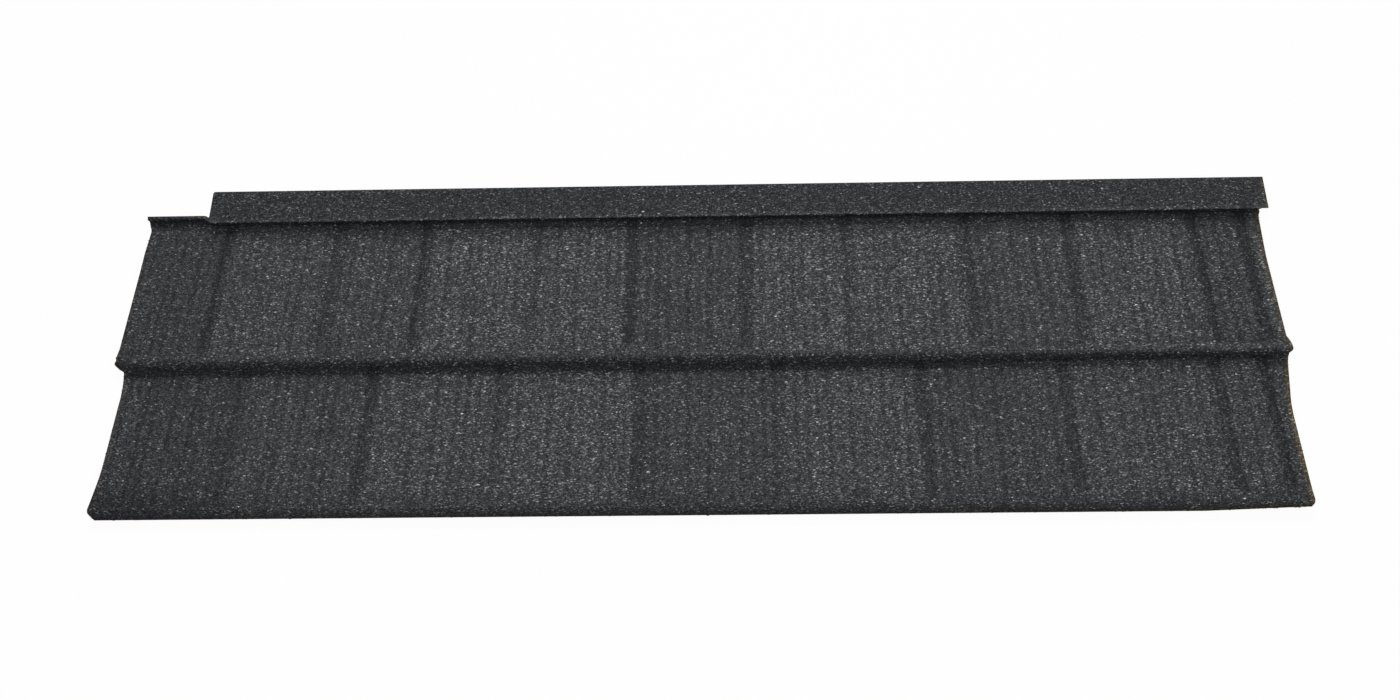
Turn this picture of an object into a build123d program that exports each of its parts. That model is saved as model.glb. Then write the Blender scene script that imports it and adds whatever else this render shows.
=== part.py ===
from build123d import *

import os
from itertools import accumulate
from math import acos, atan2, cos, sin, sqrt

# Tile effect roofing sheet: one pressed steel sheet with a stone chip coat.
# X runs along the sheet, +Y points to the rear flange and +Z is up.
# The origin is under the middle of the overall box, on the surface it lies on.
# All sizes are in millimetres.

# Overall sizes
sheet_length = 1340.0
sheet_depth = 420.0
coated_thickness = 1.5

# Side profile, from the rear flange to the nose
flange_depth = 44.0
upstand_height = 14.5
upstand_lean = 1.5
step_from_nose = 181.8
step_height = 22.0
step_draft = 1.0
nose_height = 24.5

# Bend radii, on the top face
flange_bend_radius = 2.5
foot_radius = 4.0
step_shoulder_radius = 6.0
nose_shoulder_radius = 5.0

# Rear flange: its left end stops short of the side edge and its right end reaches past it
side_lap = 75.0
flange_strip = 6.5
flange_overhang = 11.0
flange_corner_radius = 2.5

# Side edges, drawn in along the lower course and with an ear at each end of the step
edge_pull_in = 5.0
edge_radius = 150.0
foot_flare_length = 60.0
nose_flare_radius = 250.0
ear_radius = 1.2
left_ear = 3.0
left_ear_length = 4.0
left_taper_length = 30.0
left_foot_flare = 0.8
left_nose_flare = 5.0
left_nose_flare_length = 50.0
right_ear = 5.5
right_ear_length = 14.0
right_taper_start = 4.5
right_taper_length = 62.0
right_foot_flare = 3.0
right_nose_flare = 1.0
right_nose_flare_length = 15.0

# The lower edge of the nose rises towards the right end
nose_trim_length = 110.0
nose_trim_rise = 10.0

# Widths of the tabs from the left edge, between the middles of the grooves
upper_tabs = [98.0, 133.0, 107.0, 134.0, 112.0, 137.0, 118.0, 141.0, 120.0, 147.0]
lower_tabs = [143.0, 149.0, 148.0, 156.0, 157.0, 162.0, 161.0, 170.0]

# Pressed grooves between the tabs, and the one beside the right edge
groove_width = 12.0
groove_depth = 1.8
groove_run_out_radius = 40.0
groove_end_gap = 5.0
edge_groove_inset = 18.5

# Levels and lines that follow from the sizes
x_left = -sheet_length / 2
x_right = sheet_length / 2
x_left_upper = x_left + left_ear
x_left_foot = x_left_upper - left_foot_flare
x_left_lower = x_left_upper + edge_pull_in
x_right_upper = x_right - flange_overhang
x_right_foot = x_right_upper + right_foot_flare
x_right_lower = x_right_upper - edge_pull_in
y_nose = -sheet_depth / 2
y_rear = sheet_depth / 2
y_foot = y_rear - flange_depth
y_bend = y_foot - upstand_lean
y_step = y_nose + step_from_nose
y_step_top = y_step + step_draft
course_slope = atan2(step_height, y_foot - y_step_top)
ridge_depth = groove_depth + coated_thickness
z_foot = ridge_depth * cos(course_slope) + coated_thickness * sin(course_slope)
z_flange = z_foot + upstand_height
z_step_top = z_foot + step_height

# A groove is part of a cylinder whose axis is parallel to the face of the course
groove_radius = (groove_width**2 / 4 + groove_depth**2) / (2 * groove_depth)
axis_height = groove_radius - groove_depth


def top_line():
    """Top face of the sheet in the YZ plane, from the rear edge to the foot of the nose."""
    corners = [
        (y_rear, z_flange),
        (y_bend, z_flange),
        (y_foot, z_foot),
        (y_step_top, z_step_top),
        (y_step, z_foot),
        (y_nose, nose_height),
        (y_nose, 0.0),
    ]
    radii = [
        flange_bend_radius,
        foot_radius,
        step_shoulder_radius,
        foot_radius,
        nose_shoulder_radius,
    ]
    return FilletPolyline(*corners, radius=radii, mode=Mode.PRIVATE)


def block_under(upper_line, *closing_corners):
    """Block along X under a line, closed through corners from its front end to its rear."""
    front_end = upper_line.vertices().sort_by(Axis.Y)[0]
    rear_end = upper_line.vertices().sort_by(Axis.X)[-1]
    with BuildSketch(Plane.YZ) as section:
        with BuildLine():
            add(upper_line)
            Polyline((front_end.X, front_end.Y), *closing_corners, (rear_end.X, rear_end.Y))
        make_face()
    return extrude(section.sketch, amount=sheet_length / 2, both=True)


def upper_block():
    """Block from the top face of the sheet down to the surface it lies on."""
    return block_under(top_line(), (y_rear, 0.0))


def lower_block():
    """Block under the lower face of the sheet, which reaches below and behind it."""
    line = offset(top_line(), coated_thickness, side=Side.LEFT, closed=False, mode=Mode.PRIVATE)
    y_inside_nose = y_nose + coated_thickness
    y_behind = y_rear + coated_thickness
    z_below = -z_foot
    corners = [(y_inside_nose, z_below), (y_behind, z_below), (y_behind, z_flange - coated_thickness)]
    return block_under(line, *corners)


def left_edge():
    """Left side edge from the rear foot to the nose, as corners with their radii."""
    return [
        (x_left_foot, y_foot, 0.0),
        (x_left_upper, y_foot - foot_flare_length, edge_radius),
        (x_left_upper, y_step_top + left_ear_length, ear_radius),
        (x_left, y_step_top, 0.0),
        (x_left_upper, y_step, ear_radius),
        (x_left_lower, y_step - left_taper_length, edge_radius),
        (x_left_lower, y_nose + left_nose_flare_length, nose_flare_radius),
        (x_left_lower - left_nose_flare, y_nose, 0.0),
    ]


def right_edge():
    """Right side edge from the rear foot to the nose, as corners with their radii."""
    return [
        (x_right_foot, y_foot, 0.0),
        (x_right_upper, y_foot - foot_flare_length, edge_radius),
        (x_right_upper, y_step_top + right_ear_length, ear_radius),
        (x_right_upper + right_ear, y_step_top, ear_radius),
        (x_right_upper + right_taper_start, y_step, ear_radius),
        (x_right_lower, y_step - right_taper_length, edge_radius),
        (x_right_lower, y_nose + right_nose_flare_length, nose_flare_radius),
        (x_right_lower + right_nose_flare, y_nose, 0.0),
    ]


def plan_outline():
    """Outline of the sheet from above: side edges, left notch and flange end."""
    x_flange_left = x_left_foot + side_lap
    y_strip = y_foot + flange_strip
    rear = [
        (x_right_foot, y_bend, 0.0),
        (x_right, y_bend, 0.0),
        (x_right, y_rear, 0.0),
        (x_flange_left, y_rear, flange_corner_radius),
        (x_flange_left, y_strip, flange_corner_radius),
        (x_left_foot, y_strip, 0.0),
    ]
    corners = left_edge() + right_edge()[::-1] + rear
    with BuildSketch() as outline:
        with BuildLine():
            FilletPolyline(
                *[(x, y) for x, y, _ in corners],
                radius=[r for _, _, r in corners],
                close=True,
            )
        make_face()
    return outline.sketch


def overhang_relief():
    """Block that leaves only the flange itself where its right end reaches past the side edge."""
    width = flange_overhang
    depth = flange_depth + upstand_lean
    height = z_flange - coated_thickness
    corner = Pos(x_right_foot, y_bend, 0.0)
    return corner * Box(width, depth, height, align=(Align.MIN, Align.MIN, Align.MIN))


def nose_trim():
    """Wedge under the slanting lower edge of the nose at its right end."""
    x_end = x_right_lower + right_nose_flare
    with BuildSketch(Plane.XZ.offset(-y_nose - nose_shoulder_radius)) as wedge:
        with BuildLine():
            Polyline(
                (x_end - nose_trim_length, 0),
                (x_end, nose_trim_rise),
                (x_right, nose_trim_rise),
                (x_right, 0),
                close=True,
            )
        make_face()
    return extrude(wedge.sketch, amount=2 * nose_shoulder_radius)


def groove_section(plane, radius):
    """Section of a groove, or of the ridge under it: round below, and open to the foot bend."""
    half_chord = sqrt(radius**2 - axis_height**2)
    lowest = axis_height - radius
    with BuildSketch(plane) as section:
        with BuildLine():
            ThreePointArc((-half_chord, 0), (0, lowest), (half_chord, 0))
            Polyline(
                (half_chord, 0),
                (half_chord, foot_radius),
                (-half_chord, foot_radius),
                (-half_chord, 0),
            )
        make_face()
    return section.sketch


def groove_bar(x, foot, shoulder, radius, setback):
    """Straight bar along a course whose front end lifts out of the face on an arc.

    foot and shoulder are the (y, z) ends of the top face of the course. The bar
    starts setback behind the foot and is clear of the face at the shoulder.
    """
    slope = atan2(shoulder[1] - foot[1], foot[0] - shoulder[0])
    forward = Vector(0, -cos(slope), sin(slope))
    upward = Vector(0, sin(slope), cos(slope))
    depth = radius - axis_height
    lift_angle = acos(1 - depth / groove_run_out_radius)
    clear_length = groove_run_out_radius * sin(acos(1 - groove_depth / groove_run_out_radius))

    def on_arc(angle):
        along = groove_run_out_radius * sin(angle)
        up = groove_run_out_radius * (1 - cos(angle))
        return lift_off + forward * along + upward * up

    start = Vector(x, *foot) - forward * setback
    lift_off = Vector(x, *shoulder) - forward * clear_length
    straight = Edge.make_line(start, lift_off)
    lift = Edge.make_three_point_arc(lift_off, on_arc(lift_angle / 2), on_arc(lift_angle))
    plane = Plane(origin=start, x_dir=(1, 0, 0), z_dir=forward)
    return sweep(groove_section(plane, radius), path=Wire([straight, lift]))


def face_end(foot, corner, shoulder_radius):
    """Front end of a groove on a course, short of the round shoulder."""
    length = sqrt((corner[0] - foot[0]) ** 2 + (corner[1] - foot[1]) ** 2)
    share = 1 - (shoulder_radius + groove_end_gap) / length
    y = foot[0] + share * (corner[0] - foot[0])
    z = foot[1] + share * (corner[1] - foot[1])
    return (y, z)


def course_middles(tabs, x_course_right):
    """X of each groove of a course: between its tabs, and beside its right edge."""
    x_edge_groove = x_course_right - edge_groove_inset
    between_tabs = [x_left_upper + distance for distance in accumulate(tabs)]
    return [x for x in between_tabs if x < x_edge_groove - 2 * groove_width] + [x_edge_groove]


def groove_lines():
    """Each groove as x, foot and front end of its course."""
    upper_foot = (y_foot, z_foot)
    upper_end = face_end(upper_foot, (y_step_top, z_step_top), step_shoulder_radius)
    lower_foot = (y_step, z_foot)
    lower_end = face_end(lower_foot, (y_nose, nose_height), nose_shoulder_radius)
    upper_middles = course_middles(upper_tabs, x_right_upper)
    lower_middles = course_middles(lower_tabs, x_right_lower)
    upper_lines = [(x, upper_foot, upper_end) for x in upper_middles]
    lower_lines = [(x, lower_foot, lower_end) for x in lower_middles]
    return upper_lines + lower_lines


def roofing_sheet():
    """The sheet: a block up to its top face less the block under its lower face."""
    lines = groove_lines()
    under_radius = groove_radius + coated_thickness
    grooves = [groove_bar(x, foot, end, groove_radius, 0.0) for x, foot, end in lines]
    ridges = [groove_bar(x, foot, end, under_radius, coated_thickness) for x, foot, end in lines]
    blank = extrude(plan_outline(), amount=2 * z_step_top, both=True)
    pressed = ((upper_block() - grooves) - (lower_block() - ridges)) & blank
    return pressed - overhang_relief() - nose_trim()


os.makedirs("parts", exist_ok=True)
sheet = roofing_sheet()
sheet.label = "roofing_sheet"
export_step(sheet, "parts/roofing_sheet.step")
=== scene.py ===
"""Looks of the tile effect roofing sheet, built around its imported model.

X runs along the sheet, +Y points to the rear flange and +Z is up. Lengths are in metres.
The pressed sheet is one closed mesh with its fine ribs, and stone chips stand on its coated face.
A place on that face is given by X and by s, the length along the side profile from the nose.
"""

import math

import bmesh
import bpy
import numpy as np
from mathutils import Matrix, Vector


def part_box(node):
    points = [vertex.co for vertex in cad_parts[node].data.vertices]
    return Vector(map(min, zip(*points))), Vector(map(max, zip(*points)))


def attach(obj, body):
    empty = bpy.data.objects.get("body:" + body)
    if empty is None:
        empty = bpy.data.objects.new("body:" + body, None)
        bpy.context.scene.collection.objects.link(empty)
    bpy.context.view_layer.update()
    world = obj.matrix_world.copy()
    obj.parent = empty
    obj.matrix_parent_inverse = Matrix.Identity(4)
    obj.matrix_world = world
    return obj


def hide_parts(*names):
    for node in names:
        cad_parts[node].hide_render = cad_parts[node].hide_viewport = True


MM = 0.001
NODE = "roofing_sheet"
BODY = "root"

# Numbers of the sheet's materials, in the order in which they are added
COATED_FACE, BACK, CUT_EDGE = range(3)

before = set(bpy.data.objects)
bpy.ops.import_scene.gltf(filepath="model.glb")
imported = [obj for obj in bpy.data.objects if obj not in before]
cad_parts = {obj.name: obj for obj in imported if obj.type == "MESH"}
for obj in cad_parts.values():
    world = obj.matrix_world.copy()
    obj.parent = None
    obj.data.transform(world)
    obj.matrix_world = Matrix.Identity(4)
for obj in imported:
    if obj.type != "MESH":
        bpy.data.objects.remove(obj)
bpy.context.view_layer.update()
low_corner, high_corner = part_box(NODE)

# Side profile, from the rear flange to the nose
coated_thickness = 1.5 * MM
flange_depth = 44.0 * MM
upstand_height = 14.5 * MM
upstand_lean = 1.5 * MM
step_from_nose = 181.8 * MM
step_height = 22.0 * MM
step_draft = 1.0 * MM
nose_height = 24.5 * MM
flange_bend_radius = 2.5 * MM
foot_radius = 4.0 * MM
step_shoulder_radius = 6.0 * MM
nose_shoulder_radius = 5.0 * MM

# Plan outline
side_lap = 75.0 * MM
flange_strip = 6.5 * MM
flange_overhang = 11.0 * MM
flange_corner_radius = 2.5 * MM
edge_pull_in = 5.0 * MM
edge_radius = 150.0 * MM
foot_flare_length = 60.0 * MM
nose_flare_radius = 250.0 * MM
ear_radius = 1.2 * MM
left_ear = 3.0 * MM
left_ear_length = 4.0 * MM
left_taper_length = 30.0 * MM
left_foot_flare = 0.8 * MM
left_nose_flare = 5.0 * MM
left_nose_flare_length = 50.0 * MM
right_ear = 5.5 * MM
right_ear_length = 14.0 * MM
right_taper_start = 4.5 * MM
right_taper_length = 62.0 * MM
right_foot_flare = 3.0 * MM
right_nose_flare = 1.0 * MM
right_nose_flare_length = 15.0 * MM
nose_trim_length = 110.0 * MM
nose_trim_rise = 10.0 * MM

# Tabs and grooves
upper_tabs = np.array([98, 133, 107, 134, 112, 137, 118, 141, 120, 147]) * MM
lower_tabs = np.array([143, 149, 148, 156, 157, 162, 161, 170]) * MM
groove_width = 12.0 * MM
groove_depth = 1.8 * MM
groove_run_out_radius = 40.0 * MM
groove_end_gap = 5.0 * MM
edge_groove_inset = 18.5 * MM

# The grooves' soft rims, and the waves in which their middles wander
groove_reach = 0.62 * groove_width
groove_roundness = 1.5
groove_wander = 1.1 * MM
wander_lengths = np.array([21.0, 9.3, 5.2]) * MM

# Fine ribs pressed into both courses, a little wider apart towards the right and unevenly deep
rib_pitch_left = 11.2 * MM
rib_pitch_right = 12.9 * MM
rib_height = 0.45 * MM
rib_front_fade = 6.0 * MM
rib_rear_fade = 5.0 * MM
rib_unevenness = 0.35
rib_turn = 2.4
rib_sway = 1.3

# Where the flange is cut away its upstand leans back, and at the other end it tapers in
notch_lean = 5.0 * MM
notch_rear_lean = 3.2 * MM
notch_lean_width = 9.0 * MM
notch_lean_start = 0.3
notch_strip_fade = 4.0 * MM
upstand_taper = 3.0 * MM
upstand_taper_width = 20.0 * MM

# Inward shifts of the ends in millimetres, at places from the foot of the step to behind its
# shoulder, and at places from in front of the rear foot to the flange
edge_zone = 45.0 * MM
end_zone = 9.0 * MM
ear_front_reach = 40.0 * MM
ear_shoulder_gap = 2.0 * MM
ear_places_behind = np.array([1, 3, 8, 13]) * MM
left_ear_pulls = (0.0, 1.8, -0.9, -1.5, 0.2, -1.9, 0.0, 0.0, 0.0)
right_ear_pulls = (0.0, 0.5, 1.6, 3.4, 0.0, -1.2, -1.8, -2.0, 0.0)
notch_foot_reach = 30.0 * MM
notch_bend_reach = 1.0 * MM
notch_foot_pulls = (0.0, 1.6, 2.2, 2.6, 0.0)

# Grid of the sheet's mesh
column_pitch = 2.3 * MM
overhang_columns = 4
least_row_gap = 0.2 * MM
row_tolerance = 0.1 * MM
back_row_step = 3
back_bend_row_step = 2
corner_row_shares = (0.15, 0.4, 1.0)
corner_pull_width = 12.0 * MM
strip_tolerance = 0.001 * MM

# Stone chips: their tips are about level with the modelled face, and the coat lies below them
chip_seed = 11
chip_bed = 0.45 * MM
chip_root = 0.15 * MM
chip_cell_across = 2.0 * MM
chip_cell_along = 1.45 * MM
chip_jitter = 0.6
chip_margin = 0.9 * MM
chip_stretch = 1.45
chip_corner_turn = 0.4
chip_corner_reach = (0.8, 1.2)
dark_chip_parts = 4
dark_chip_sizes = (2.0 * MM, 3.1 * MM)
dark_chip_heights = (0.3 * MM, 0.65 * MM)
dark_chip_tip_shift = 0.2
dark_chip_tilt = 0.15
light_chip_parts = 2
light_chip_sizes = (2.2 * MM, 3.4 * MM)
light_chip_heights = (0.4 * MM, 0.75 * MM)
light_chip_slant = 0.1 * MM
light_chip_top_shares = (0.5, 0.75)
light_chip_tilt = 0.12

# Shares of light chips: one for each tab from the left, and one for flanges and bends
upper_light_shares = (0.06, 0.12, 0.11, 0.22, 0.24, 0.12, 0.24, 0.22, 0.11, 0.2, 0.14, 0.12)
lower_light_shares = (0.06, 0.09, 0.16, 0.22, 0.12, 0.22, 0.11, 0.2, 0.16, 0.12)
plain_light_share = 0.11
# Fewer light chips in the grooves, as a part of their painted shade
groove_light_loss = 0.6

# Tones of the chips, and the tints of the coat from dark to light
dark_chip_tone = 0.0605
dark_chip_spread = 0.7
deep_chip_tone = 0.25 * dark_chip_tone
light_chip_tone = 0.193
light_chip_spread = 0.46
chip_speckle = (0.55, 1.45)
grit_tones = (0.4 * dark_chip_tone, 3.0 * dark_chip_tone)
# Tones lowered by painted shade take on the bluer deep tint
deep_tint = (0.8, 0.86, 1.0)
coat_tint = (0.916, 0.944, 1.0)
light_tint = (0.95, 0.966, 1.0)

# Tints towards the right end, from where they start, and the tint of worn coat
olive_tint = (0.935, 0.97, 0.965)
teal_tint = (0.895, 0.97, 0.99)
hue_start = 100.0 * MM
hue_share = 0.8
wear_tint = (1.28, 0.97, 0.58)

# Shades of the tabs from the left
upper_tab_shades = (0.88, 1.02, 1.0, 1.04, 0.99, 0.92, 1.01, 1.0, 0.96, 1.01, 0.84, 0.95)
lower_tab_shades = (0.85, 0.98, 1.02, 1.02, 0.93, 0.99, 0.92, 0.96, 0.93, 0.82)
tab_fade = 5.0 * MM
# Painted shade in the valleys between the ribs
rib_valley_shade = 0.74

# Darker flange, painted shade on the upstand under its front edge and painted shadow along the upstand's
# foot
flange_shade = 0.6
flange_fade = 6.0 * MM
flange_lip = 0.5 * MM
upstand_shade = 0.43
upstand_fade = 3.0 * MM
rear_foot_shade = 0.62
rear_foot_fade = 28.0 * MM
edge_fade = 1.0 * MM

# Beside the flange's left end the upstand's painted shade is deeper at its top and gone lower down
notch_fade = 12.0 * MM
notch_dark = 0.35
notch_dark_strip = 3.0 * MM
notch_light_drop = 3.0 * MM
notch_light_fade = 6.0 * MM

# Painted shade down the step, from the painted shadow in front of its foot to behind its shoulder
step_shades = (1.0, 0.93, 0.9, 0.76, 0.52, 0.45, 0.64, 0.82, 0.95, 0.82, 1.0)
step_foot_shares = (1.0, 0.5, 0.25, 0.15, 0.0)
step_foot_fade = 28.0 * MM
shoulder_fade = 7.0 * MM
# Towards the right end the painted shade is moved higher up the step
step_shade_rise = 8.0 * MM
step_rise_start = 160.0 * MM
step_rise_length = 400.0 * MM

# Painted shade on the ears at both ends of the step
ear_shade_width = 10.0 * MM
left_ear_shade = 0.5
right_ear_shade = 0.7
ear_front_fade = 3.0 * MM
ear_rear_reach = 3.0 * MM
ear_rear_fade = 4.0 * MM

# Painted shade down the nose, from its lower edge, and on the front left corner
nose_shades = (0.3, 0.56, 0.92, 0.7, 0.88, 1.0)
left_corner_shade = 0.64
corner_width = 240.0 * MM
corner_depth = 40.0 * MM

# How deep the painted shade in each groove is, from the left, and the two painted dark lines along its
# sides
groove_shade = 0.5
upper_groove_strengths = (1.15, 0.8, 1.15, 0.45, 1.1, 0.85, 0.45, 0.9, 1.0, 1.15, 1.2)
lower_groove_strengths = (0.55, 1.05, 0.5, 0.85, 0.5, 0.9, 1.0, 1.15, 1.35)
groove_dark_limit = 1.3
groove_band_share = 0.55
groove_band_half_width = 8.5 * MM
groove_line_left = -2.5 * MM
groove_line_right = 5.5 * MM
groove_line_width = 2.2 * MM
groove_line_balance = 0.6
edge_groove_shift = -3.0 * MM

# Worn, browner coat along the side edges, the lower edge of the nose and the cut at the notch
wear_width = 8.0 * MM
wear_full_width = 2.0 * MM
wear_brightness = 0.65
upper_wear_share = 0.6
upper_wear_fade = 1.3
lower_wear_fade = 1.8
flange_wear_share = 0.42
left_wear_share = 0.3
nose_wear_shares = (0.3, 0.5, 0.65, 1.0)
nose_wear_turn = 0.7
nose_wear_height = 12.0 * MM
notch_wear_share = 0.5
notch_wear_depth = 4.0 * MM
notch_wear_fade = 2.0 * MM
notch_wear_side_fade = 3.0 * MM

# Floor, and the point that the lamps are aimed at
floor_size = 14.0
floor_drop = 0.3 * MM
floor_white_share = 0.95
lamp_aim = (0.05, 0.0, 0.0)

# Levels and lines that follow from the sizes
x_left, y_nose = low_corner.x, low_corner.y
x_right, y_rear = high_corner.x, high_corner.y
x_left_upper = x_left + left_ear
x_left_foot = x_left_upper - left_foot_flare
x_left_lower = x_left_upper + edge_pull_in
x_right_upper = x_right - flange_overhang
x_right_foot = x_right_upper + right_foot_flare
x_right_lower = x_right_upper - edge_pull_in
x_flange_left = x_left_foot + side_lap
y_foot = y_rear - flange_depth
y_bend = y_foot - upstand_lean
y_strip = y_foot + flange_strip
y_step = y_nose + step_from_nose
y_step_top = y_step + step_draft
course_slope = math.atan2(step_height, y_foot - y_step_top)
ridge_depth = groove_depth + coated_thickness
z_foot = ridge_depth * math.cos(course_slope) + coated_thickness * math.sin(course_slope)
z_flange = z_foot + upstand_height
z_step_top = z_foot + step_height


def smooth(amount):
    """Smooth step from 0 to 1 for amounts from 0 to 1."""
    a = np.clip(amount, 0.0, 1.0)
    return a * a * (3 - 2 * a)


def bell(distance, width):
    """Bell curve that is 1 at no distance and about a third at its width."""
    return np.exp(-((distance / width) ** 2))


def faded(level, amount):
    """Shade that goes from 1 to a level as the amount goes from 0 to 1."""
    return 1 - (1 - level) * amount


class RoundedLine:
    """A line of straight runs with round corners, sampled along its length."""

    def __init__(self, corners, radii, run_step, arc_step):
        corners = [np.array(c, float) for c in corners]
        points = [corners[0]]
        directions = [self.unit(corners[1] - corners[0])]
        self.bends = []
        for before, corner, after, radius in zip(corners, corners[1:], corners[2:], radii):
            arriving = self.unit(corner - before)
            leaving = self.unit(after - corner)
            cross = arriving[0] * leaving[1] - arriving[1] * leaving[0]
            turn = math.atan2(cross, float(arriving @ leaving))
            tangent = radius * math.tan(abs(turn) / 2)
            start = corner - arriving * tangent
            side = np.array([-arriving[1], arriving[0]]) * math.copysign(1, turn)
            centre = start + side * radius
            self.add_run(points, directions, start, arriving, run_step)
            steps = max(2, math.ceil(abs(turn) * radius / arc_step)) if radius else 1
            first = len(points) - 1
            for step in range(1, steps + 1):
                angle = turn * step / steps
                cos, sin = math.cos(angle), math.sin(angle)
                spin = np.array([[cos, -sin], [sin, cos]])
                points.append(centre + spin @ (start - centre))
                directions.append(spin @ arriving)
            self.bends.append((first, len(points) - 1))
        self.add_run(points, directions, corners[-1], directions[-1], run_step)
        self.points = np.array(points)
        self.directions = np.array(directions)
        gaps = np.linalg.norm(np.diff(self.points, axis=0), axis=1)
        self.lengths = np.concatenate([[0.0], np.cumsum(gaps)])
        self.length = self.lengths[-1]

    @staticmethod
    def unit(vector):
        return vector / np.linalg.norm(vector)

    @staticmethod
    def add_run(points, directions, end, direction, run_step):
        start = points[-1]
        steps = max(1, math.ceil(np.linalg.norm(end - start) / run_step))
        for step in range(1, steps + 1):
            points.append(start + (end - start) * step / steps)
            directions.append(direction)

    def bend_spans(self):
        """Lengths along the line at which each bend starts and ends."""
        return [(self.lengths[first], self.lengths[last]) for first, last in self.bends]

    def at(self, length):
        """Points and unit directions at lengths along the line."""
        points = [np.interp(length, self.lengths, self.points[:, k]) for k in (0, 1)]
        along = [np.interp(length, self.lengths, self.directions[:, k]) for k in (0, 1)]
        size = np.hypot(*along)
        return points[0], points[1], along[0] / size, along[1] / size


profile = RoundedLine(
    corners=[
        (y_nose, 0.0),
        (y_nose, nose_height),
        (y_step, z_foot),
        (y_step_top, z_step_top),
        (y_foot, z_foot),
        (y_bend, z_flange),
        (y_rear, z_flange),
    ],
    radii=[nose_shoulder_radius, foot_radius, step_shoulder_radius, foot_radius, flange_bend_radius],
    run_step=8.0 * MM,
    arc_step=1.0 * MM,
)
nose_bend, step_foot, step_shoulder, rear_foot, flange_bend = profile.bend_spans()

left_line = RoundedLine(
    corners=[
        (x_left_foot, y_rear),
        (x_left_foot, y_foot),
        (x_left_upper, y_foot - foot_flare_length),
        (x_left_upper, y_step_top + left_ear_length),
        (x_left, y_step_top),
        (x_left_upper, y_step),
        (x_left_lower, y_step - left_taper_length),
        (x_left_lower, y_nose + left_nose_flare_length),
        (x_left_lower - left_nose_flare, y_nose),
    ],
    radii=[0.0, edge_radius, ear_radius, 0.0, ear_radius, edge_radius, nose_flare_radius],
    run_step=20.0 * MM,
    arc_step=2.0 * MM,
)
right_line = RoundedLine(
    corners=[
        (x_right_foot, y_rear),
        (x_right_foot, y_foot),
        (x_right_upper, y_foot - foot_flare_length),
        (x_right_upper, y_step_top + right_ear_length),
        (x_right_upper + right_ear, y_step_top),
        (x_right_upper + right_taper_start, y_step),
        (x_right_lower, y_step - right_taper_length),
        (x_right_lower, y_nose + right_nose_flare_length),
        (x_right_lower + right_nose_flare, y_nose),
    ],
    radii=[0.0, edge_radius, ear_radius, ear_radius, ear_radius, edge_radius, nose_flare_radius],
    run_step=20.0 * MM,
    arc_step=2.0 * MM,
)

# The flange's front edge, and the rear edge of the strip that it leaves at the notch
s_flange = sum(flange_bend) / 2
s_strip = profile.length - (y_rear - y_strip)

# Lengths along the profile at which the ears and the foot beside the notch change their width
ear_places = [
    step_foot[0] - ear_front_reach,
    sum(step_foot) / 2,
    step_foot[1],
    step_shoulder[0] - ear_shoulder_gap,
    sum(step_shoulder) / 2,
    *(step_shoulder[1] + ear_places_behind),
]
notch_foot_places = [
    rear_foot[0] - notch_foot_reach,
    *rear_foot,
    flange_bend[0],
    flange_bend[1] + notch_bend_reach,
]


def edge_x(line, s):
    """X of a side edge at a length along the profile."""
    y = profile.at(s)[0]
    return np.interp(y, line.points[::-1, 1], line.points[::-1, 0])


class Course:
    """One course of tabs: where its face starts and ends along the profile, and its grooves."""

    def __init__(self, shoulder, foot, tabs, x_end, light_shares, tab_shades, groove_strengths, seed):
        self.front = shoulder[1]
        self.rear, self.foot_end = foot
        edge_groove = x_end - edge_groove_inset
        middles = x_left_upper + np.cumsum(tabs)
        kept = middles[middles < edge_groove - 2 * groove_width]
        self.grooves = np.append(kept, edge_groove)
        self.light_shares = np.array(light_shares)
        self.tab_shades = np.array(tab_shades)
        self.groove_strengths = groove_strengths
        rng = np.random.default_rng(seed)
        self.phases = rng.uniform(0, math.tau, (len(self.grooves), len(wander_lengths)))

    def groove_depth_at(self, s):
        """Depth of the grooves at lengths along the profile, with run-outs at both ends."""
        clear_length = math.sqrt(2 * groove_run_out_radius * groove_depth - groove_depth**2)
        inside = s - self.front - groove_end_gap
        rest = np.clip(clear_length - inside, 0.0, clear_length)
        front = groove_depth - (groove_run_out_radius - np.sqrt(groove_run_out_radius**2 - rest**2))
        rear = smooth((self.foot_end + foot_radius - s) / foot_radius)
        return np.where(inside > 0, front, 0.0) * rear

    def rib_share_at(self, s):
        """How far the ribs stand out at lengths along the profile."""
        return smooth((s - self.front) / rib_front_fade) * smooth((self.rear - s) / rib_rear_fade)

    def groove_offsets(self, x, s):
        """Distance from the middle of each groove. The middles wander a little."""
        for middle, phase in zip(self.grooves, self.phases):
            waves = sum(np.sin(s / length + start) for length, start in zip(wander_lengths, phase))
            yield x - middle - groove_wander * waves / 2

    def groove_fill(self, x, s):
        """1 in the middle of a groove, 0 outside it."""
        fill = np.zeros(np.broadcast(x, s).shape)
        for offset in self.groove_offsets(x, s):
            share = np.clip(1 - (offset / groove_reach) ** 2, 0, 1)
            fill = np.maximum(fill, share**groove_roundness)
        return fill

    def groove_dark(self, x, s):
        """How deep the painted shade is in and beside the grooves."""
        dark = np.zeros(np.broadcast(x, s).shape)
        for middle, strength, offset in zip(self.grooves, self.groove_strengths, self.groove_offsets(x, s)):
            to_right = (middle - x_left) / (x_right - x_left)
            if middle == self.grooves[-1]:
                offset = offset - edge_groove_shift
            band = np.clip(1 - (offset / groove_band_half_width) ** 4, 0, 1)
            left = bell(offset - groove_line_left, groove_line_width)
            right = bell(offset - groove_line_right, groove_line_width)
            lines = faded(1 - groove_line_balance, to_right) * left
            lines = lines + faded(1 - groove_line_balance, 1 - to_right) * right
            dark = np.maximum(dark, strength * (groove_band_share * band + (1 - groove_band_share) * lines))
        return np.minimum(dark, groove_dark_limit) * self.groove_depth_at(s) / groove_depth

    def tab_number(self, x):
        """Number of the tab that X lies on, counted from the left."""
        return np.searchsorted(self.grooves, x)


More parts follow.
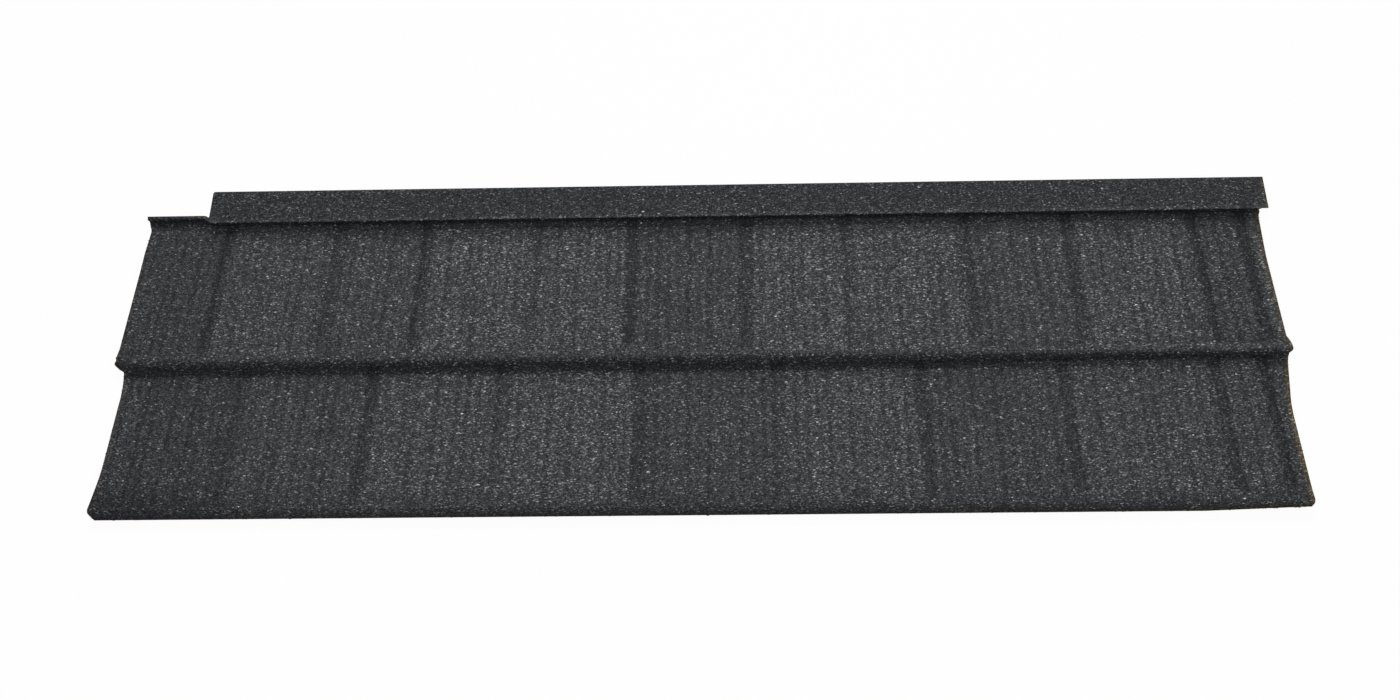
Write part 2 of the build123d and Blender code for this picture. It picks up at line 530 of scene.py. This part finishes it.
upper_course = Course(
    shoulder=step_shoulder,
    foot=rear_foot,
    tabs=upper_tabs,
    x_end=x_right_upper,
    light_shares=upper_light_shares,
    tab_shades=upper_tab_shades,
    groove_strengths=upper_groove_strengths,
    seed=3,
)
lower_course = Course(
    shoulder=nose_bend,
    foot=step_foot,
    tabs=lower_tabs,
    x_end=x_right_lower,
    light_shares=lower_light_shares,
    tab_shades=lower_tab_shades,
    groove_strengths=lower_groove_strengths,
    seed=4,
)


def rib_turns(x):
    """Number of ribs from the left end to X."""
    share = (x - x_left) / (x_right - x_left)
    growth = rib_pitch_right - rib_pitch_left
    return (x_right - x_left) / growth * np.log(1 + share * growth / rib_pitch_left)


def rib_wave(x):
    """Rib profile at X, from 0 on a crest to about -1 in a valley."""
    turns = rib_turns(x)
    number = np.floor(turns)
    depth = 1 + rib_unevenness * np.sin(rib_turn * number + rib_sway * np.sin(number))
    return depth * (np.cos(math.tau * turns) - 1) / 2


def relief(x, s):
    """Height of the pressed relief above the plain profile."""
    height = np.zeros(np.broadcast(x, s).shape)
    for course in (lower_course, upper_course):
        fill = course.groove_fill(x, s)
        height = height + rib_height * rib_wave(x) * course.rib_share_at(s) * (1 - fill)
        height = height - course.groove_depth_at(s) * fill
    return height


def body_x(x0, s):
    """Moves a reference X sideways so that the first and last columns follow the side edges."""
    toward_left = smooth(1 - (x0 - x_left_foot) / edge_zone)
    toward_right = smooth(1 - (x_right_foot - x0) / edge_zone)
    left_shift = edge_x(left_line, s) - x_left_foot
    right_shift = edge_x(right_line, s) - x_right_foot
    return x0 + left_shift * toward_left + right_shift * toward_right


def end_pull(x0, s):
    """Small shifts of the ends: the rolled ears of the step, and the foot beside the notch."""
    near_left = smooth(1 - (x0 - x_left_foot) / end_zone)
    near_right = smooth(1 - (x_right_foot - x0) / end_zone)
    left = np.interp(s, ear_places, left_ear_pulls) + np.interp(s, notch_foot_places, notch_foot_pulls)
    right = np.interp(s, ear_places, right_ear_pulls)
    return (left * near_left - right * near_right) * MM


def nose_edge_height(x):
    """Height of the lower edge of the nose, which rises towards the right end."""
    x_end = x_right_lower + right_nose_flare
    return nose_trim_rise * np.clip((x - x_end + nose_trim_length) / nose_trim_length, 0, 1)


def nose_lift(x, s):
    """Height that the slanting lower edge adds to the rows of the nose."""
    return nose_edge_height(x) * np.clip(1 - s / nose_bend[0], 0, 1)


def upstand_rise(s):
    """How far up the upstand a place is, from 0 at its foot to 1 at the flange's bend."""
    return smooth((s - rear_foot[1]) / (flange_bend[0] - rear_foot[1]))


def upstand_lean_at(x, s):
    """Distance that the upstand leans back beside the flange's left end."""
    to_strip = np.clip((s - flange_bend[0]) / (s_strip - flange_bend[0]), 0, 1)
    lean = notch_lean + (notch_rear_lean - notch_lean) * to_strip
    beside = smooth((x_flange_left - x) / notch_lean_width + notch_lean_start)
    in_front = smooth((s_strip + notch_strip_fade - s) / notch_strip_fade)
    return lean * upstand_rise(s) * beside * in_front


def upstand_taper_at(x, s):
    """Distance that the upstand's right end is drawn in at its top."""
    below_flange = 1 - smooth((s - flange_bend[0]) / (s_flange - flange_bend[0]))
    near_end = smooth(1 - (x_right_foot - x) / upstand_taper_width)
    return upstand_taper * upstand_rise(s) * below_flange * near_end


def surface(x0, s):
    """Points of the chips' bed at a reference X and a length along the profile, and the frame there."""
    inside = np.minimum(x0, x_right_foot)
    y, z, along_y, along_z = profile.at(s)
    x = body_x(inside, s) + end_pull(inside, s)
    height = relief(x, s) - chip_bed
    z = z + nose_lift(x, s)
    y = y + upstand_lean_at(x, s)
    x = x - upstand_taper_at(x, s) + (x0 - inside)
    points = np.stack(np.broadcast_arrays(x, y - along_z * height, z + along_y * height), -1)
    along = np.stack(np.broadcast_arrays(0.0 * x, along_y, along_z), -1)
    normal = np.stack(np.broadcast_arrays(0.0 * x, -along_z, along_y), -1)
    return points, along, normal


def rear_shade(x, s):
    """Darker flange, painted shade on the upstand under its front edge and painted shadow along its foot.
    """
    in_notch = smooth((x_flange_left - x) / notch_fade + 0.5)
    under_flange = smooth((s_flange + flange_lip + notch_dark_strip * in_notch - s) / edge_fade)
    light_part = smooth((s_flange - notch_light_drop - s) / notch_light_fade)
    upstand = smooth((s - rear_foot[1]) / upstand_fade) * under_flange
    upstand = upstand * (1 + in_notch * (notch_dark - (1 + notch_dark) * light_part))
    foot = smooth((s - rear_foot[0] + rear_foot_fade) / rear_foot_fade) * under_flange * (1 - in_notch)
    flange = smooth((s - s_flange) / flange_fade)
    return faded(upstand_shade, upstand) * faded(rear_foot_shade, foot) * faded(flange_shade, flange)


def course_shade(x, s):
    """Factor of each tab, with painted shade in its grooves and in the valleys between its ribs."""
    result = 1.0
    for course in (lower_course, upper_course):
        on_face = smooth((s - course.front) / tab_fade) * smooth((course.foot_end - s) / tab_fade)
        dark = course.groove_dark(x, s)
        valley = -rib_wave(x) * course.rib_share_at(s) * np.clip(1 - dark, 0, 1)
        result = result * faded(course.tab_shades[course.tab_number(x)], on_face)
        result = result * faded(groove_shade, dark) * faded(rib_valley_shade, valley)
    return result


def step_shade(x, s):
    """Painted shade down the step, darkest along its foot, and a little higher up towards the right end."""
    s = s - step_shade_rise * smooth((x - step_rise_start) / step_rise_length)
    places = [step_foot[0] - share * step_foot_fade for share in step_foot_shares]
    places += [sum(step_foot) / 2, step_foot[1], (step_foot[1] + step_shoulder[0]) / 2]
    places += [*step_shoulder, step_shoulder[1] + shoulder_fade]
    return np.interp(s, places, step_shades)


def ear_shade(x, s):
    """Painted shade on the rolled ears at both ends of the step."""
    near_left = smooth(1 - (x - edge_x(left_line, s)) / ear_shade_width)
    near_right = smooth(1 - (edge_x(right_line, s) - x) / ear_shade_width)
    rear_end = step_shoulder[1] + ear_rear_reach
    amount = smooth((s - step_foot[1]) / ear_front_fade) * smooth((rear_end - s) / ear_rear_fade)
    return 1 - ((1 - left_ear_shade) * near_left + (1 - right_ear_shade) * near_right) * amount


def nose_shade(s):
    """Painted shade down the nose, darkest along its lower edge."""
    start, end = nose_bend
    places = [0, start / 2, start, end, end + shoulder_fade, end + 3 * shoulder_fade]
    return np.interp(s, places, nose_shades)


def corner_shade(x, s):
    """Shade of the sheet's front left corner, which lies away from the light."""
    beside = smooth((x_left_lower + corner_width - x) / corner_width)
    in_front = smooth((nose_bend[1] + corner_depth - s) / corner_depth)
    return faded(left_corner_shade, beside * in_front)


def shade(x, s):
    """Factor on the coat: mostly painted shade and shadow, with the tabs' and the flange's factors and
    brighter wear.
    """
    ends = corner_shade(x, s) * ear_shade(x, s) * (1 + wear_brightness * right_wear(x, s))
    return ends * nose_shade(s) * step_shade(x, s) * rear_shade(x, s) * course_shade(x, s)


def right_wear(x, s):
    """Wear along the right edge, from 0 to 1."""
    on_flange = smooth((s - s_flange) / edge_fade)
    right_end = edge_x(right_line, s) * (1 - on_flange) + x_right * on_flange
    upper = s > step_shoulder[0]
    amount = np.clip((wear_width - (right_end - x)) / (wear_width - wear_full_width), 0, 1)
    amount = amount ** np.where(upper, upper_wear_fade, lower_wear_fade)
    share = np.where(upper, upper_wear_share, 1.0)
    return amount * (share * (1 - on_flange) + flange_wear_share * on_flange)


def wear(x, s):
    """Wear of the coat, from 0 to 1."""
    left = left_wear_share * smooth(1 - (x - edge_x(left_line, s)) / wear_width)
    nose = np.interp(x, [x_left, 0.0, nose_wear_turn * x_right, x_right], nose_wear_shares)
    nose = nose * smooth(1 - (s - nose_edge_height(x)) / nose_wear_height)
    notch = smooth((s - s_strip + notch_wear_depth) / notch_wear_fade)
    notch = notch_wear_share * notch * smooth((x_flange_left - x) / notch_wear_side_fade)
    return np.maximum.reduce([right_wear(x, s), left, nose, notch])


def row_of(rows, s):
    """Number of the row nearest to a length along the profile."""
    return int(np.abs(rows - s).argmin())


def grid_rows():
    """Lengths along the profile of the rows of the sheet's mesh."""
    rows = np.unique(np.concatenate([profile.lengths, ear_places, [s_strip, s_flange]]).round(7))
    rows = rows[np.append(True, np.diff(rows) > least_row_gap)]
    for s in (s_strip, s_flange):
        rows[row_of(rows, s)] = s
    corner_rows = [y_rear - flange_corner_radius * share for share in corner_row_shares]
    corner_rows += [y_strip + flange_corner_radius * share for share in corner_row_shares]
    return np.sort(np.concatenate([rows, profile.length - (y_rear - np.array(corner_rows))]))


def grid_columns():
    """Reference X of the columns of the mesh, the flange's first column and the body's last."""
    lap_steps = math.ceil(side_lap / column_pitch)
    body_steps = math.ceil((x_right_foot - x_flange_left) / column_pitch)
    lap = np.linspace(x_left_foot, x_flange_left, lap_steps + 1)[:-1]
    body = np.linspace(x_flange_left, x_right_foot, body_steps + 1)
    overhang = np.linspace(x_right_foot, x_right, overhang_columns + 1)[1:]
    return np.concatenate([lap, body, overhang]), lap_steps, lap_steps + body_steps


def corner_pull(x0, y):
    """Moves the flange's left end sideways at its two round corners."""
    radius = flange_corner_radius
    rear_drop = np.clip(radius - (y_rear - y), 0, radius)
    front_drop = np.clip(radius - (y - y_strip), 0, radius)
    rear_pull = radius - np.sqrt(radius**2 - rear_drop**2)
    behind_strip = y >= y_strip - strip_tolerance
    front_pull = np.where(behind_strip, radius - np.sqrt(radius**2 - front_drop**2), 0.0)
    near = smooth(1 - np.abs(x0 - x_flange_left) / corner_pull_width)
    return near * (rear_pull - front_pull)


def build_sheet():
    """The sheet as one closed mesh: coated face, back and cut edges."""
    rows = grid_rows()
    columns, flange_column, last_body_column = grid_columns()
    s_grid, x_grid = np.meshgrid(rows, columns, indexing="ij")
    top, _, normal = surface(x_grid, s_grid)
    top[..., 0] += corner_pull(x_grid, top[..., 1])
    shown = np.ones((len(rows) - 1, len(columns) - 1), bool)
    middles = (rows[:-1] + rows[1:]) / 2
    shown[middles > s_strip, :flange_column] = False
    shown[middles < s_flange, last_body_column:] = False

    back_rows = back_row_numbers(rows)
    back = top[back_rows] - normal[back_rows] * (coated_thickness - chip_bed)
    top_index = np.arange(top[..., 0].size).reshape(top.shape[:2])
    back_index = top_index.size + np.arange(back[..., 0].size).reshape(back.shape[:2])
    top_faces = quads(top_index, shown).tolist()
    back_faces = quads(back_index, shown[back_rows[:-1]])[:, ::-1].tolist()
    rim = rim_faces(top_index, back_index, back_rows, shown)
    slots = [COATED_FACE] * len(top_faces) + [BACK] * len(back_faces) + [CUT_EDGE] * len(rim)
    points = np.concatenate([top.reshape(-1, 3), back.reshape(-1, 3)])
    # The shade layer carries the painted shade, with the tabs' and flange's factors, to the bonding coat
    layers = {
        "shade": np.concatenate([shade(top[..., 0], s_grid).ravel(), np.ones(back_index.size)]),
        "wear": np.concatenate([wear(top[..., 0], s_grid).ravel(), np.zeros(back_index.size)]),
    }
    return make_mesh("sheet", points, top_faces + back_faces + rim, slots, layers)


def back_row_numbers(rows):
    """Rows of the back: those at changes of outline, every second in bends and every third elsewhere."""
    kept = {0, len(rows) - 1, row_of(rows, s_strip), row_of(rows, s_flange)}
    for start, end in profile.bend_spans():
        inside = np.flatnonzero((rows > start - row_tolerance) & (rows < end + row_tolerance))
        kept.update(inside[::back_bend_row_step].tolist())
        kept.add(int(inside[-1]))
    kept.update(range(0, len(rows), back_row_step))
    return np.array(sorted(kept))


def quads(index, shown):
    """Corners of the quads of a grid that are shown."""
    corners = np.stack([index[:-1, :-1], index[:-1, 1:], index[1:, 1:], index[1:, :-1]], -1)
    return corners[shown]


def rim_faces(top, back, back_rows, shown):
    """Cut edges: faces between the border of the coated face and the border of the back."""
    faces = []
    padded = np.pad(shown, 1)
    for level, row in enumerate(back_rows):
        before, after = padded[row, 1:-1], padded[row + 1, 1:-1]
        for column in np.flatnonzero(before != after):
            edge = [top[row, column], top[row, column + 1], back[level, column + 1], back[level, column]]
            faces.append([int(v) for v in edge])
    for level, (first, last) in enumerate(zip(back_rows[:-1], back_rows[1:])):
        line = padded[first + 1, :]
        for column in np.flatnonzero(line[:-1] != line[1:]):
            for row in range(first, last):
                faces.append([int(top[row, column]), int(top[row + 1, column]), int(back[level, column])])
            faces.append([int(top[last, column]), int(back[level + 1, column]), int(back[level, column])])
    return faces


def make_mesh(name, points, faces, slots, layers):
    """A closed mesh object with its unused points left out and its normals facing outwards."""
    used = np.zeros(len(points), bool)
    used[np.concatenate([np.ravel(f) for f in faces])] = True
    number = np.cumsum(used) - 1
    faces = [[int(number[v]) for v in f] for f in faces]
    mesh = bpy.data.meshes.new(name)
    mesh.from_pydata(points[used].tolist(), [], faces)
    mesh.polygons.foreach_set("material_index", slots)
    mesh.polygons.foreach_set("use_smooth", [slot != CUT_EDGE for slot in slots])
    mesh.update()
    turn_outwards(mesh)
    return make_piece(mesh, {key: values[used] for key, values in layers.items()})


def turn_outwards(mesh):
    """Turns every face of a closed mesh outwards."""
    work = bmesh.new()
    work.from_mesh(mesh)
    bmesh.ops.recalc_face_normals(work, faces=work.faces)
    work.to_mesh(mesh)
    work.free()


def make_piece(mesh, layers):
    """An object with a mesh, whose points carry the values of each layer."""
    for key, values in layers.items():
        mesh.attributes.new(key, "FLOAT", "POINT").data.foreach_set("value", values)
    piece = bpy.data.objects.new(mesh.name, mesh)
    bpy.context.scene.collection.objects.link(piece)
    return piece


def chip_sites(rng):
    """Places of chips: one in each cell of the unrolled coated face, less those off the sheet."""
    across = math.ceil((x_right - x_left_foot) / chip_cell_across)
    along = math.ceil(profile.length / chip_cell_along)
    column, row = np.meshgrid(np.arange(across), np.arange(along))
    column = column + 0.5 + rng.uniform(-chip_jitter, chip_jitter, column.shape)
    row = row + 0.5 + rng.uniform(-chip_jitter, chip_jitter, row.shape)
    x0 = (x_left_foot + column * chip_cell_across).ravel()
    s = (row * chip_cell_along).ravel()
    on_sheet = (s > chip_margin) & (s < profile.length - chip_margin) & (x0 > x_left_foot + chip_margin)
    on_body = x0 < x_right_foot - chip_margin
    on_overhang = (s > s_flange + chip_margin) & (x0 < x_right - chip_margin)
    off_notch = (s < s_strip - chip_margin) | (x0 > x_flange_left + chip_margin)
    kept = on_sheet & (on_body | on_overhang) & off_notch
    return x0[kept], s[kept]


def chip_frames(x0, s, rng, tilt):
    """Middle and tilted axes of each chip on the coated face."""
    points, along, normal = surface(x0, s)
    across = np.tile([1.0, 0.0, 0.0], (len(x0), 1))
    lean = rng.normal(0, tilt, (len(x0), 2))
    normal = normal + across * lean[:, :1] + along * lean[:, 1:]
    normal /= np.linalg.norm(normal, axis=1, keepdims=True)
    across = across - normal * np.sum(across * normal, 1, keepdims=True)
    across /= np.linalg.norm(across, axis=1, keepdims=True)
    return points, across, np.cross(normal, across), normal


def chip_corners(rng, size):
    """Three corners of each chip, uneven and turned at random, in the chip's own plane."""
    count = len(size)
    angle = rng.uniform(0, math.tau, (count, 1)) + np.arange(3) * math.tau / 3
    angle = angle + rng.uniform(-chip_corner_turn, chip_corner_turn, (count, 3))
    radius = size[:, None] / 2 * rng.uniform(*chip_corner_reach, (count, 3))
    return radius * np.cos(angle) * chip_stretch, radius * np.sin(angle) / chip_stretch


def place(frames, u, v, w):
    """Points of chips from their own coordinates."""
    points, across, along, normal = (f[:, None, :] for f in frames)
    return points + across * u[..., None] + along * v[..., None] + normal * w[..., None]


def dark_chips(x0, s, rng):
    """Small pointed chips of three faces each."""
    count = len(x0)
    frames = chip_frames(x0, s, rng, dark_chip_tilt)
    size = rng.uniform(*dark_chip_sizes, count)
    u, v = chip_corners(rng, size)
    tip = rng.uniform(-dark_chip_tip_shift, dark_chip_tip_shift, (count, 2)) * size[:, None]
    height = rng.uniform(*dark_chip_heights, (count, 1))
    points = place(
        frames,
        np.concatenate([u, tip[:, :1]], 1),
        np.concatenate([v, tip[:, 1:]], 1),
        np.concatenate([np.full((count, 3), -chip_root), height], 1),
    )
    return points, [[[0, 1, 3], [1, 2, 3], [2, 0, 3]]]


def light_chips(x0, s, rng):
    """Larger chips with a small flat top."""
    count = len(x0)
    frames = chip_frames(x0, s, rng, light_chip_tilt)
    u, v = chip_corners(rng, rng.uniform(*light_chip_sizes, count))
    share = rng.uniform(*light_chip_top_shares, (count, 1))
    height = rng.uniform(*light_chip_heights, (count, 1))
    height = height + rng.uniform(-light_chip_slant, light_chip_slant, (count, 3))
    points = place(
        frames,
        np.concatenate([u, u * share], 1),
        np.concatenate([v, v * share], 1),
        np.concatenate([np.full((count, 3), -chip_root), height], 1),
    )
    return points, [[[0, 1, 4, 3], [1, 2, 5, 4], [2, 0, 3, 5]], [[3, 4, 5]]]


def chip_mesh(name, points, patterns, layers):
    """One mesh of many chips, with each chip's values on its points."""
    count, corners = points.shape[:2]
    first = np.arange(count)[:, None, None] * corners
    loops, sizes = [], []
    for pattern in patterns:
        faces = (first + np.array(pattern)[None]).reshape(-1, len(pattern[0]))
        loops.append(faces.ravel())
        sizes.append(np.full(len(faces), len(pattern[0])))
    loops, sizes = np.concatenate(loops), np.concatenate(sizes)
    mesh = bpy.data.meshes.new(name)
    mesh.vertices.add(count * corners)
    mesh.vertices.foreach_set("co", points.ravel())
    mesh.loops.add(len(loops))
    mesh.loops.foreach_set("vertex_index", loops)
    mesh.polygons.add(len(sizes))
    mesh.polygons.foreach_set("loop_start", np.concatenate([[0], np.cumsum(sizes)[:-1]]))
    mesh.polygons.foreach_set("loop_total", sizes)
    piece = make_piece(mesh, {key: np.repeat(values, corners) for key, values in layers.items()})
    mesh.update(calc_edges=True)
    mesh.validate()
    return piece


def light_share(x, s):
    """Share of light chips at each place."""
    share = np.full(len(x), plain_light_share)
    for course in (lower_course, upper_course):
        on_face = (s > course.front) & (s < course.rear)
        share = np.where(on_face, course.light_shares[course.tab_number(x)], share)
        share = share * (1 - groove_light_loss * course.groove_fill(x, s) * on_face)
    return share


def build_chips():
    """All chips: small dark ones close together, with larger light ones among them."""
    rng = np.random.default_rng(chip_seed)
    x0, s = chip_sites(rng)
    order = rng.permutation(len(x0))
    x0, s = x0[order], s[order]
    x = surface(x0, s)[0][:, 0]
    light = rng.uniform(0, 1, len(x0)) < light_share(x, s)
    # Each chip's tone takes on the painted shade at its place
    shades = shade(x, s)
    tones = dark_chip_tone * rng.lognormal(0, dark_chip_spread, len(x0)) * shades
    tones[light] = light_chip_tone * rng.lognormal(0, light_chip_spread, light.sum()) * shades[light]
    worn = wear(x, s)
    pieces = []
    kinds = ((dark_chips, ~light, dark_chip_parts), (light_chips, light, light_chip_parts))
    for shape, chosen, count in kinds:
        for number, part in enumerate(np.array_split(np.flatnonzero(chosen), count), 1):
            points, patterns = shape(x0[part], s[part], rng)
            layers = {"tone": tones[part], "wear": worn[part]}
            pieces.append(chip_mesh(f"{shape.__name__}_{number}", points, patterns, layers))
    return pieces


class Material:
    """A node material made step by step."""

    def __init__(self, name):
        self.material = bpy.data.materials.new(name)
        self.material.use_nodes = True
        self.nodes = self.material.node_tree.nodes
        self.shader = self.nodes["Principled BSDF"]

    def add(self, kind, **settings):
        node = self.nodes.new(kind)
        for key, value in settings.items():
            setattr(node, key, value)
        return node

    def link(self, source, target):
        """Gives an input an output, a colour or a number."""
        if isinstance(source, bpy.types.NodeSocket):
            self.material.node_tree.links.new(source, target)
        elif isinstance(source, tuple):
            target.default_value = (*source, 1.0)
        else:
            target.default_value = source

    def math(self, operation, first, second):
        node = self.add("ShaderNodeMath", operation=operation)
        self.link(first, node.inputs[0])
        self.link(second, node.inputs[1])
        return node.outputs[0]

    def scaled(self, value, low, high, start=0.0, end=1.0):
        """Value moved from the range of start to end into that of low to high."""
        node = self.add("ShaderNodeMapRange")
        self.link(value, node.inputs["Value"])
        for name, limit in (("From Min", start), ("From Max", end), ("To Min", low), ("To Max", high)):
            self.link(limit, node.inputs[name])
        return node.outputs["Result"]

    def ramp(self, source, stops):
        node = self.add("ShaderNodeValToRGB")
        ramp = node.color_ramp
        ramp.elements[0].position, ramp.elements[1].position = stops[0][0], stops[-1][0]
        for position, _ in stops[1:-1]:
            ramp.elements.new(position)
        for element, (_, colour) in zip(ramp.elements, stops):
            element.color = (*colour, 1.0)
        self.link(source, node.inputs["Fac"])
        return node.outputs["Color"]

    def mixed(self, amount, first, second):
        """Colour between two."""
        node = self.add("ShaderNodeMix", data_type="RGBA")
        for source, socket in ((amount, 0), (first, 6), (second, 7)):
            self.link(source, node.inputs[socket])
        return node.outputs[2]

    def attribute(self, name):
        return self.add("ShaderNodeAttribute", attribute_name=name).outputs["Fac"]

    def place(self):
        return self.add("ShaderNodeTexCoord").outputs["Object"]

    def texture(self, kind, scale):
        texture = self.add(kind)
        self.link(self.place(), texture.inputs["Vector"])
        self.link(scale, texture.inputs["Scale"])
        return texture

    def noise(self, scale):
        return self.texture("ShaderNodeTexNoise", scale).outputs["Fac"]

    def tinted(self, tone):
        """Base colour: the coat's tint at a tone, bluer where painted shade lowers the tone, its hues
        towards the right end, and its wear.
        """
        stops = [(deep_chip_tone, deep_tint), (dark_chip_tone, coat_tint), (light_chip_tone, light_tint)]
        base = self.ramp(tone, stops)
        patches = self.scaled(self.noise(scale=22.0), 0.0, 1.0, start=0.4, end=0.6)
        hue = self.mixed(patches, teal_tint, olive_tint)
        across = self.add("ShaderNodeSeparateXYZ")
        self.link(self.place(), across.inputs[0])
        amount = self.scaled(across.outputs["X"], 0.0, hue_share, start=hue_start, end=x_right)
        tint = self.mixed(amount, base, hue)
        tint = self.mixed(self.attribute("wear"), tint, wear_tint)
        colour = self.add("ShaderNodeVectorMath", operation="SCALE")
        self.link(tint, colour.inputs[0])
        self.link(tone, colour.inputs["Scale"])
        self.link(colour.outputs[0], self.shader.inputs["Base Color"])

    def bump(self, height, strength, distance):
        node = self.add("ShaderNodeBump")
        self.link(strength, node.inputs["Strength"])
        self.link(distance, node.inputs["Distance"])
        self.link(height, node.inputs["Height"])
        self.link(node.outputs["Normal"], self.shader.inputs["Normal"])

    def finish(self, roughness, specular):
        self.shader.inputs["Roughness"].default_value = roughness
        self.shader.inputs["Specular IOR Level"].default_value = specular
        self.shader.inputs["Metallic"].default_value = 0.0
        return self.material


def chip_material():
    """Crushed stone with a baked colour: each chip has its own tone, darkened by painted shade, with flecks
    in it.
    """
    look = Material("stone_chips")
    fleck = look.texture("ShaderNodeTexVoronoi", scale=1000.0).outputs["Color"]
    speckle = look.scaled(fleck, *chip_speckle)
    look.tinted(look.math("MULTIPLY", look.attribute("tone"), speckle))
    look.bump(look.noise(scale=2600.0), strength=0.4, distance=0.12 * MM)
    return look.finish(roughness=0.8, specular=0.12)


def bed_material():
    """Bonding coat with fine grit between the chips, darkened by the painted shade in the sheet's shade
    layer.
    """
    look = Material("bonding_coat")
    grit = look.texture("ShaderNodeTexVoronoi", scale=850.0)
    light_grit = look.math("POWER", grit.outputs["Color"], 3.0)
    tone = look.scaled(light_grit, *grit_tones)
    look.tinted(look.math("MULTIPLY", tone, look.attribute("shade")))
    look.bump(grit.outputs["Distance"], strength=0.6, distance=0.3 * MM)
    return look.finish(roughness=0.8, specular=0.12)


def back_material():
    """Grey primer on the back of the steel."""
    look = Material("back_primer")
    stops = [(0.3, (0.17, 0.175, 0.18)), (0.7, (0.23, 0.235, 0.24))]
    look.link(look.ramp(look.noise(scale=30.0), stops), look.shader.inputs["Base Color"])
    look.bump(look.noise(scale=900.0), strength=0.25, distance=0.08 * MM)
    return look.finish(roughness=0.48, specular=0.5)


def edge_material():
    """Cut edge: steel browned by handling, with remains of the coat."""
    look = Material("cut_edge")
    stain = look.noise(scale=260.0)
    stops = [(0.35, (0.03, 0.026, 0.022)), (0.6, (0.10, 0.065, 0.035)), (0.75, (0.16, 0.14, 0.12))]
    look.link(look.ramp(stain, stops), look.shader.inputs["Base Color"])
    look.bump(stain, strength=0.3, distance=0.1 * MM)
    return look.finish(roughness=0.6, specular=0.4)


def seen_rays(tree):
    """1 for rays from the camera, and for those that come by way of a mirror or glass."""
    path = tree.nodes.new("ShaderNodeLightPath")
    total = path.outputs["Is Camera Ray"]
    for name in ("Is Glossy Ray", "Is Transmission Ray"):
        larger = tree.nodes.new("ShaderNodeMath")
        larger.operation = "MAXIMUM"
        tree.links.new(total, larger.inputs[0])
        tree.links.new(path.outputs[name], larger.inputs[1])
        total = larger.outputs[0]
    return total


def floor_material():
    """Grey to the light that it throws back, and nearly plain white where it is seen."""
    look = Material("floor")
    seen = seen_rays(look.material.node_tree)
    paint = look.mixed(seen, (0.3, 0.3, 0.3), (0.9, 0.9, 0.9))
    look.link(paint, look.shader.inputs["Base Color"])
    mix = look.add("ShaderNodeMixShader")
    look.link(look.math("MULTIPLY", seen, floor_white_share), mix.inputs["Fac"])
    look.link(look.shader.outputs[0], mix.inputs[1])
    look.link(look.add("ShaderNodeEmission").outputs[0], mix.inputs[2])
    look.link(mix.outputs[0], look.nodes["Material Output"].inputs["Surface"])
    return look.finish(roughness=0.9, specular=0.1)


def build_floor():
    """Pale floor just under the sheet."""
    bpy.ops.mesh.primitive_plane_add(size=floor_size, location=(0, 0, -floor_drop))
    floor = bpy.context.object
    floor.name = "floor"
    floor.data.materials.append(floor_material())


def build_surround():
    """Soft light from all around, and plain white where the surround is seen."""
    world = bpy.data.worlds.new("surround")
    bpy.context.scene.world = world
    world.use_nodes = True
    tree = world.node_tree
    ambient = tree.nodes["Background"]
    ambient.inputs["Color"].default_value = (0.97, 0.98, 1.0, 1)
    ambient.inputs["Strength"].default_value = 0.4
    white = tree.nodes.new("ShaderNodeBackground")
    white.inputs["Color"].default_value = (1.0, 1.0, 1.0, 1)
    mix = tree.nodes.new("ShaderNodeMixShader")
    tree.links.new(seen_rays(tree), mix.inputs["Fac"])
    tree.links.new(ambient.outputs[0], mix.inputs[1])
    tree.links.new(white.outputs[0], mix.inputs[2])
    tree.links.new(mix.outputs[0], tree.nodes["World Output"].inputs["Surface"])


def add_lamp(name, location, size, power):
    """A soft rectangular lamp aimed near the middle of the sheet."""
    lamp = bpy.data.lights.new(name, "AREA")
    lamp.shape = "RECTANGLE"
    lamp.size, lamp.size_y = size
    lamp.energy = power
    holder = bpy.data.objects.new(name, lamp)
    holder.location = location
    aim = Vector(lamp_aim) - Vector(location)
    holder.rotation_euler = aim.to_track_quat("-Z", "Y").to_euler()
    bpy.context.scene.collection.objects.link(holder)


# The camera looks down on the sheet from the front, as the photo does
camera_position = (0.04842, -0.83727, 1.56479)
camera_down = math.radians(61.98)
camera_yaw = math.radians(-3.41)
camera_roll = math.radians(-3.68)
camera_focal_pixels = 1542.1
image_width_pixels = 1400


def build_camera():
    """The scene's camera, from its position, its angles and its focal length."""
    data = bpy.data.cameras.new("camera")
    data.sensor_width = 36.0
    data.lens = camera_focal_pixels / image_width_pixels * data.sensor_width
    camera = bpy.data.objects.new("camera", data)
    level = math.cos(camera_down)
    forward = Vector((math.sin(camera_yaw) * level, math.cos(camera_yaw) * level, -math.sin(camera_down)))
    side = Vector((math.cos(camera_yaw), -math.sin(camera_yaw), 0.0))
    upright = side.cross(forward)
    right = side * math.cos(camera_roll) + upright * math.sin(camera_roll)
    up = upright * math.cos(camera_roll) - side * math.sin(camera_roll)
    rotation = Matrix((right, up, -forward)).transposed().to_4x4()
    camera.matrix_world = Matrix.Translation(camera_position) @ rotation
    bpy.context.scene.collection.objects.link(camera)
    bpy.context.scene.camera = camera


build_camera()
build_floor()
build_surround()
add_lamp("key", location=(0.15, 1.18, 2.32), size=(0.7, 0.5), power=24.0)
add_lamp("fill", location=(0.1, -0.6, 2.4), size=(2.2, 1.4), power=20.0)
bpy.context.scene.view_settings.view_transform = "Standard"

sheet = build_sheet()
for material in (bed_material(), back_material(), edge_material()):
    sheet.data.materials.append(material)
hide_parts(NODE)
chips = build_chips()
stone = chip_material()
for piece in chips:
    piece.data.materials.append(stone)
for piece in [sheet, *chips]:
    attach(piece, BODY)
